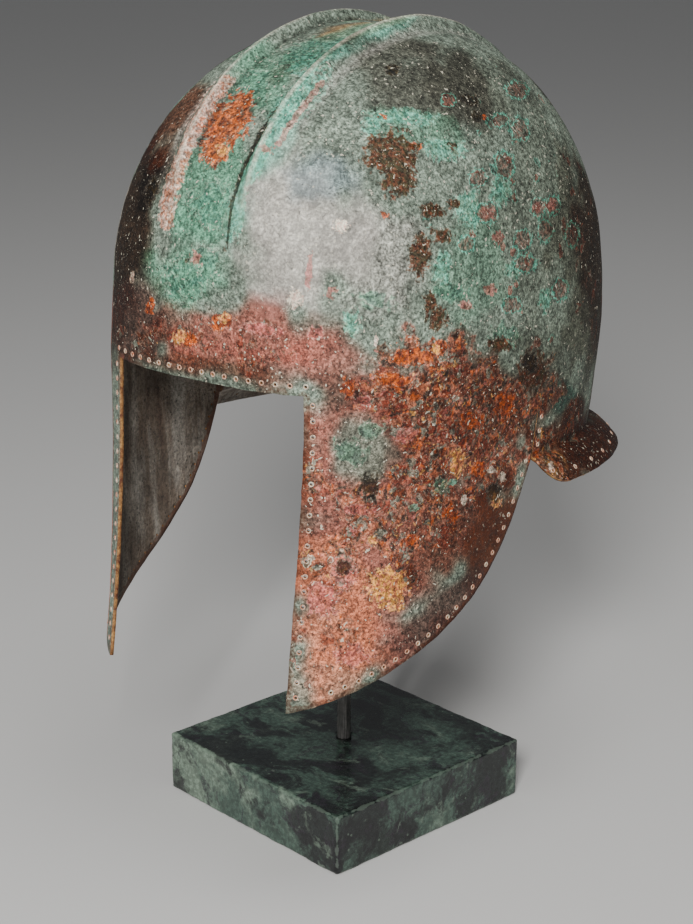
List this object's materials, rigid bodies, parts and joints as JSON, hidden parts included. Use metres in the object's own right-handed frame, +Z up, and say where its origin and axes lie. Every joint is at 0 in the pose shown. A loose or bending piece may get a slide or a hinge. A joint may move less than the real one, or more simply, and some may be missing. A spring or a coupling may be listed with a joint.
{
  "type": "illyrian helmet on a display stand",
  "caption": "Open-faced bronze helmet with long cheekpieces, twin crown ribs and a flared neck guard, held up by a steel post on a square green marble slab.",
  "frame": {"origin": "centre of the slab's underside", "axes": "+Z up, the helmet faces -Y, its left cheekpiece is at +X"},
  "size_m": [0.2004, 0.2579, 0.3616],
  "materials": {
    "bronze_patina": "corroded, matte, green and brown patina",
    "black_steel": "dark, satin",
    "green_marble": "polished"
  },
  "bodies": {
    "root": {"helmet_shell": "bronze_patina", "stand_post": "black_steel", "stand_base": "green_marble"}
  },
  "joints": []
}
